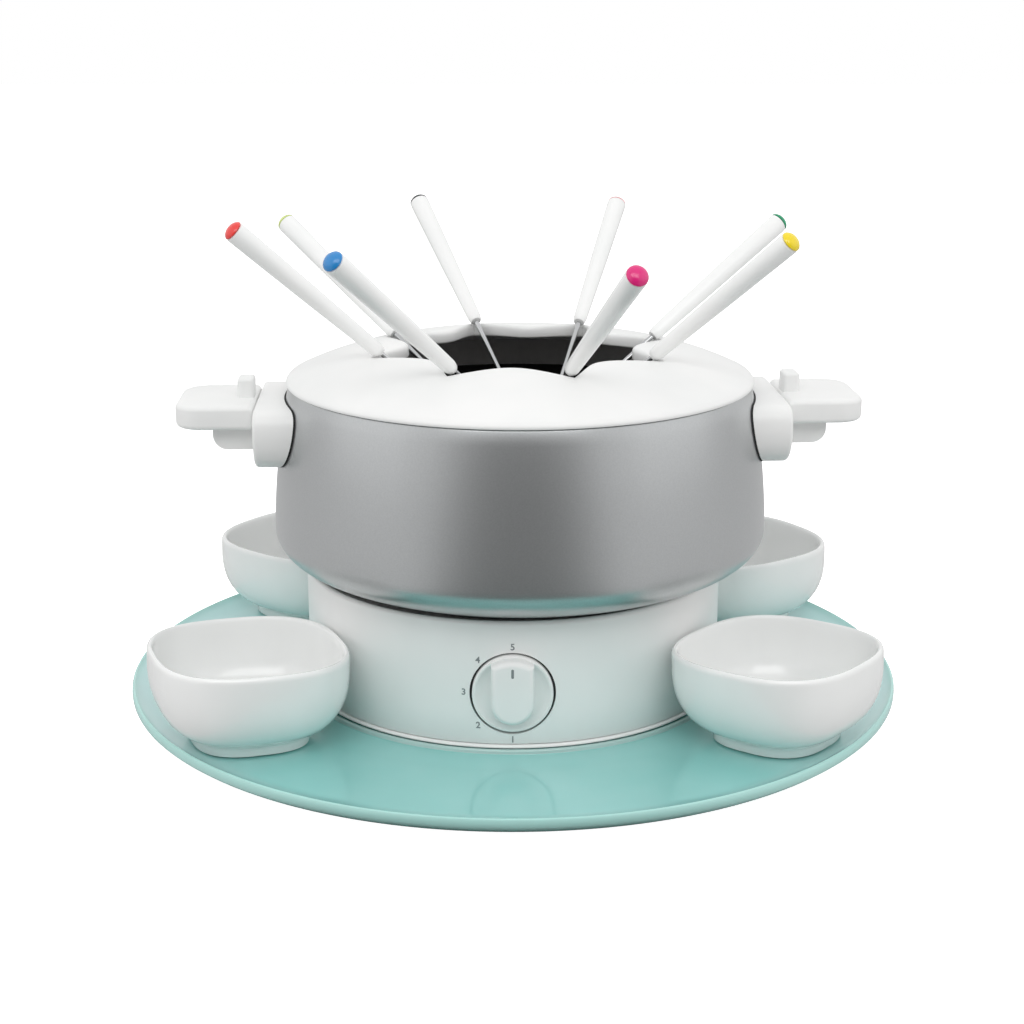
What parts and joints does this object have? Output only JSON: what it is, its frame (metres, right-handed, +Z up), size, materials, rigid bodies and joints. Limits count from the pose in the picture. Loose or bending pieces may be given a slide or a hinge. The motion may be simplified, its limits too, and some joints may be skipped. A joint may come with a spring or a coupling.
{
  "type": "electric fondue pot set",
  "caption": "Electric fondue set on a round glass tray: heated base with control knob, handled pot, fork ring, colour-coded forks and dip bowls.",
  "frame": {"origin": "on the table, under the middle of the round tray", "axes": "+Z up, front with the control knob towards -Y, +X to the right seen from the front"},
  "size_m": [0.35, 0.35, 0.2223],
  "materials": {
    "teal_glass": "clear, tinted",
    "clear_silicone": "matt, translucent",
    "white_plastic": "semi-gloss moulded",
    "dark_plastic": "matt moulded",
    "black_silicone": "matt",
    "pot_coating": "satin metallic outside, dark non-stick inside",
    "steel": "polished",
    "plate_aluminium": "cast, machined",
    "brass": "bright",
    "porcelain": "gloss glaze",
    "cap_green": "gloss",
    "cap_pink": "gloss",
    "cap_black": "gloss",
    "cap_lime": "gloss",
    "cap_red": "gloss",
    "cap_blue": "gloss",
    "cap_magenta": "gloss",
    "cap_yellow": "gloss"
  },
  "bodies": {
    "tray": {"serving_tray": "teal_glass", "tray_foot_ring": "clear_silicone"},
    "base": {"base_shell": "white_plastic", "base_bottom_cover": "white_plastic", "base_foot_1": "black_silicone", "base_foot_2": "black_silicone", "base_foot_3": "black_silicone", "cover_screw_1": "steel", "cover_screw_2": "steel", "cover_screw_3": "steel", "heating_plate": "plate_aluminium", "heating_element": "steel", "thermostat_body": "plate_aluminium", "dial_cup": "dark_plastic", "inlet_socket": "dark_plastic", "inlet_pin_line": "brass", "inlet_pin_earth": "brass", "inlet_pin_neutral": "brass"},
    "knob": {"control_knob": "white_plastic", "thermostat_shaft": "brass"},
    "pot": {"pot_body": "pot_coating", "right_handle_gasket": "black_silicone", "right_handle_bracket": "white_plastic", "right_handle_grip": "white_plastic", "right_finger_guard": "white_plastic", "right_handle_screw": "steel", "left_handle_gasket": "black_silicone", "left_handle_bracket": "white_plastic", "left_handle_grip": "white_plastic", "left_finger_guard": "white_plastic", "left_handle_screw": "steel"},
    "ring": {"fork_ring": "white_plastic"},
    "fork_green": {"fork_green_shank": "steel", "fork_green_handle": "white_plastic", "fork_green_cap": "cap_green"},
    "fork_pink": {"fork_pink_shank": "steel", "fork_pink_handle": "white_plastic", "fork_pink_cap": "cap_pink"},
    "fork_black": {"fork_black_shank": "steel", "fork_black_handle": "white_plastic", "fork_black_cap": "cap_black"},
    "fork_lime": {"fork_lime_shank": "steel", "fork_lime_handle": "white_plastic", "fork_lime_cap": "cap_lime"},
    "fork_red": {"fork_red_shank": "steel", "fork_red_handle": "white_plastic", "fork_red_cap": "cap_red"},
    "fork_blue": {"fork_blue_shank": "steel", "fork_blue_handle": "white_plastic", "fork_blue_cap": "cap_blue"},
    "fork_magenta": {"fork_magenta_shank": "steel", "fork_magenta_handle": "white_plastic", "fork_magenta_cap": "cap_magenta"},
    "fork_yellow": {"fork_yellow_shank": "steel", "fork_yellow_handle": "white_plastic", "fork_yellow_cap": "cap_yellow"},
    "bowl_rear_right": {"bowl_rear_right": "porcelain"},
    "bowl_rear_left": {"bowl_rear_left": "porcelain"},
    "bowl_front_left": {"bowl_front_left": "porcelain"},
    "bowl_front_right": {"bowl_front_right": "porcelain"}
  },
  "joints": [
    {"name": "base_lift", "type": "slide", "parent": "tray", "child": "base", "axis": [0, 0, 1], "range_m": [0, 0.08]},
    {"name": "knob_turn", "type": "hinge", "parent": "base", "child": "knob", "pos_m": [0, -0.09, 0.0326], "axis": [0, -1, 0], "range_deg": [0, 180]},
    {"name": "pot_lift", "type": "slide", "parent": "base", "child": "pot", "axis": [0, 0, 1], "range_m": [0, 0.12]},
    {"name": "ring_lift", "type": "slide", "parent": "pot", "child": "ring", "axis": [0, 0, 1], "range_m": [0, 0.12]},
    {"name": "fork_green_pull", "type": "slide", "parent": "ring", "child": "fork_green", "axis": [0.7173, 0.4058, 0.5664], "range_m": [0, 0.16]},
    {"name": "fork_pink_pull", "type": "slide", "parent": "ring", "child": "fork_pink", "axis": [0.2448, 0.7764, 0.5807], "range_m": [0, 0.16]},
    {"name": "fork_black_pull", "type": "slide", "parent": "ring", "child": "fork_black", "axis": [-0.3524, 0.7225, 0.5948], "range_m": [0, 0.16]},
    {"name": "fork_lime_pull", "type": "slide", "parent": "ring", "child": "fork_lime", "axis": [-0.6413, 0.5477, 0.5373], "range_m": [0, 0.16]},
    {"name": "fork_red_pull", "type": "slide", "parent": "ring", "child": "fork_red", "axis": [-0.6919, -0.2866, 0.6626], "range_m": [0, 0.16]},
    {"name": "fork_blue_pull", "type": "slide", "parent": "ring", "child": "fork_blue", "axis": [-0.517, -0.5947, 0.6157], "range_m": [0, 0.16]},
    {"name": "fork_magenta_pull", "type": "slide", "parent": "ring", "child": "fork_magenta", "axis": [0.2718, -0.7674, 0.5807], "range_m": [0, 0.16]},
    {"name": "fork_yellow_pull", "type": "slide", "parent": "ring", "child": "fork_yellow", "axis": [0.6118, -0.461, 0.6428], "range_m": [0, 0.16]},
    {"name": "bowl_rear_right_lift", "type": "slide", "parent": "tray", "child": "bowl_rear_right", "axis": [0.5233, 0.3733, 0.766], "range_m": [0, 0.08]},
    {"name": "bowl_rear_left_lift", "type": "slide", "parent": "tray", "child": "bowl_rear_left", "axis": [-0.4851, 0.4217, 0.766], "range_m": [0, 0.08]},
    {"name": "bowl_front_left_lift", "type": "slide", "parent": "tray", "child": "bowl_front_left", "axis": [-0.5233, -0.3733, 0.766], "range_m": [0, 0.08]},
    {"name": "bowl_front_right_lift", "type": "slide", "parent": "tray", "child": "bowl_front_right", "axis": [0.5233, -0.3733, 0.766], "range_m": [0, 0.08]}
  ]
}
